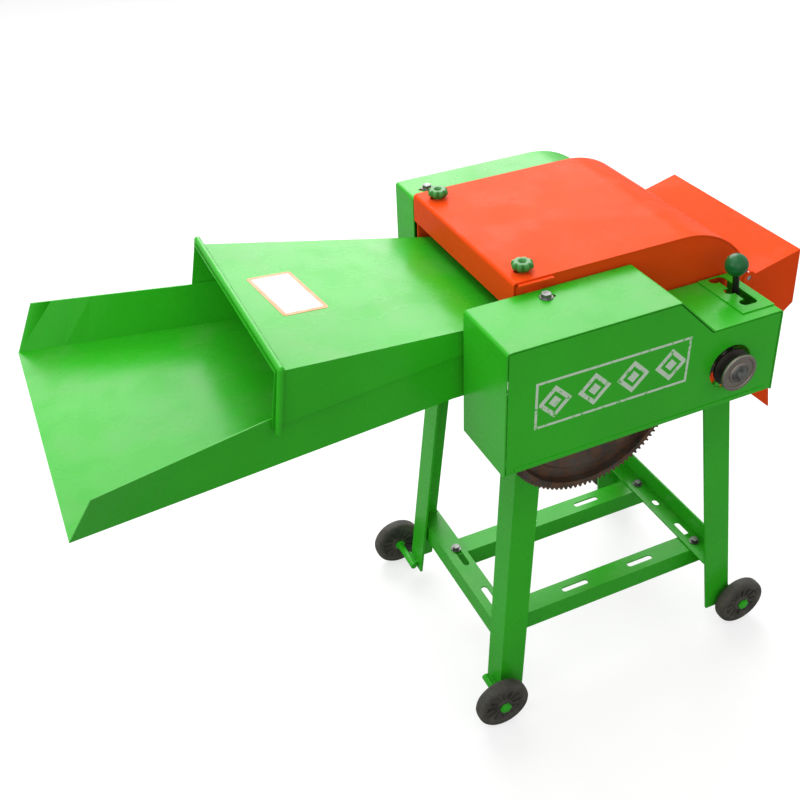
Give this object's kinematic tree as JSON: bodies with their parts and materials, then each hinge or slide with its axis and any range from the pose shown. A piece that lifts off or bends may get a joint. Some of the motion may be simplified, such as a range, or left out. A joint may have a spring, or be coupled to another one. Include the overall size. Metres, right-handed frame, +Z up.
{
  "type": "feed cutter",
  "caption": "Feed cutter with a hooded feed table, toothed feed rollers, a knife drum behind a hinged lid, a gear cover with a shift lever, and a wheeled stand.",
  "frame": {"origin": "on the floor, under the middle of the whole machine", "axes": "+X from the feed table to the outlet, +Y from the gear cover to the far cover, +Z up"},
  "size_m": [1.0816, 0.5184, 0.801],
  "materials": {
    "green_paint": "semi-gloss enamel, dusty",
    "orange_paint": "semi-gloss enamel",
    "steel": "turned, lightly oiled",
    "zinc": "bright zinc plate",
    "cast_iron": "as cast, rusty on the teeth",
    "black_steel": "black oxide",
    "knob_plastic": "glossy moulded plastic",
    "wheel_rubber": "dusty solid rubber"
  },
  "bodies": {
    "root": {"side_plate_near": "orange_paint", "side_plate_far": "orange_paint", "rotor_trough": "orange_paint", "outlet_lip": "orange_paint", "outlet_hood": "orange_paint", "feed_table": "green_paint", "feed_hood": "green_paint", "hood_edge_bar": "green_paint", "lid_crossbar": "orange_paint", "lid_hinge_pin": "steel", "gear_cover": "green_paint", "gear_cover_front": "green_paint", "shift_gate": "green_paint", "far_cover": "green_paint", "far_cover_front": "green_paint", "leg_near_left": "green_paint", "leg_near_right": "green_paint", "leg_far_left": "green_paint", "leg_far_right": "green_paint", "cross_beam_left": "green_paint", "cross_beam_right": "green_paint", "motor_rail_near": "green_paint", "motor_rail_far": "green_paint", "rail_bolts": "zinc", "leg_bolts": "green_paint", "cover_bolts": "zinc", "wheel_axles": "green_paint", "bed_knife": "steel", "bed_knife_beam": "orange_paint", "main_bearings": "cast_iron", "roller_bearings": "cast_iron", "spring_brackets": "orange_paint", "lever_bracket": "cast_iron", "pressure_springs": "steel"},
    "drum": {"main_shaft": "steel", "rotor_spiders": "cast_iron", "knives": "steel", "knife_bolts": "zinc", "input_pulley": "steel", "pulley_bolt": "zinc"},
    "clutch": {"clutch_sleeve": "steel"},
    "pinion": {"drive_pinion": "cast_iron"},
    "lower_feed": {"lower_roller": "cast_iron", "lower_roller_shaft": "steel", "big_gear": "cast_iron", "lower_link_gear": "cast_iron"},
    "upper_carrier": {"upper_bearing_blocks": "cast_iron"},
    "upper_feed": {"upper_roller": "cast_iron", "upper_roller_shaft": "steel", "upper_link_gear": "cast_iron"},
    "lid": {"lid": "orange_paint"},
    "knob_near": {"lid_knob_near": "knob_plastic"},
    "knob_far": {"lid_knob_far": "knob_plastic"},
    "yoke": {"lever_yoke": "cast_iron"},
    "lever": {"shift_lever": "black_steel", "lever_ball": "knob_plastic"},
    "wheel_near_left": {"wheel_near_left": "wheel_rubber"},
    "wheel_near_right": {"wheel_near_right": "wheel_rubber"},
    "wheel_far_left": {"wheel_far_left": "wheel_rubber"},
    "wheel_far_right": {"wheel_far_right": "wheel_rubber"}
  },
  "joints": [
    {"name": "drum_spin", "type": "hinge", "parent": "root", "child": "drum", "pos_m": [0.30675, 0.02625, 0.65], "axis": [0, 1, 0], "continuous": true},
    {"name": "clutch_slide", "type": "slide", "parent": "drum", "child": "clutch", "axis": [0, 1, 0], "range_m": [-0.00525, 0]},
    {"name": "pinion_spin", "type": "hinge", "parent": "root", "child": "pinion", "pos_m": [0.30675, 0.02625, 0.65], "axis": [0, 1, 0], "continuous": true},
    {"name": "lower_feed_spin", "type": "hinge", "parent": "root", "child": "lower_feed", "pos_m": [0.13043, 0.02625, 0.608], "axis": [0, 1, 0], "continuous": true},
    {"name": "upper_roller_lift", "type": "slide", "parent": "root", "child": "upper_carrier", "axis": [0, 0, 1], "range_m": [0, 0.016], "stiffness_N_per_m": 9000, "springref_m": -0.012, "deforming": ["pressure_springs"]},
    {"name": "upper_feed_spin", "type": "hinge", "parent": "upper_carrier", "child": "upper_feed", "pos_m": [0.13043, 0.02625, 0.68], "axis": [0, 1, 0], "continuous": true},
    {"name": "lid_hinge", "type": "hinge", "parent": "root", "child": "lid", "pos_m": [0.42169, 0.02625, 0.69466], "axis": [0, 1, 0], "range_deg": [0, 75]},
    {"name": "knob_near_turn", "type": "hinge", "parent": "lid", "child": "knob_near", "pos_m": [0.06875, -0.09475, 0.788], "axis": [0, 0, 1], "continuous": true},
    {"name": "knob_far_turn", "type": "hinge", "parent": "lid", "child": "knob_far", "pos_m": [0.06875, 0.14725, 0.788], "axis": [0, 0, 1], "continuous": true},
    {"name": "lever_shift", "type": "hinge", "parent": "root", "child": "yoke", "pos_m": [0.37035, -0.1655, 0.636], "axis": [1, 0, 0], "range_deg": [0, 21.5]},
    {"name": "lever_notch", "type": "hinge", "parent": "yoke", "child": "lever", "pos_m": [0.37035, -0.1655, 0.636], "axis": [0, 1, 0], "range_deg": [-6, 0]},
    {"name": "wheel_near_left_spin", "type": "hinge", "parent": "root", "child": "wheel_near_left", "pos_m": [0.01475, -0.16075, 0.045], "axis": [0, 1, 0], "continuous": true},
    {"name": "wheel_near_right_spin", "type": "hinge", "parent": "root", "child": "wheel_near_right", "pos_m": [0.49575, -0.15175, 0.045], "axis": [0, 1, 0], "continuous": true},
    {"name": "wheel_far_left_spin", "type": "hinge", "parent": "root", "child": "wheel_far_left", "pos_m": [0.01475, 0.23225, 0.045], "axis": [0, 1, 0], "continuous": true},
    {"name": "wheel_far_right_spin", "type": "hinge", "parent": "root", "child": "wheel_far_right", "pos_m": [0.49575, 0.23225, 0.045], "axis": [0, 1, 0], "continuous": true}
  ],
  "couplings": [
    {"joint": "pinion_spin", "follows": "lower_feed_spin", "ratio": -2.5366},
    {"joint": "upper_feed_spin", "follows": "lower_feed_spin", "ratio": -1},
    {"joint": "clutch_slide", "follows": "lever_shift", "m_per_rad": -0.014}
  ]
}
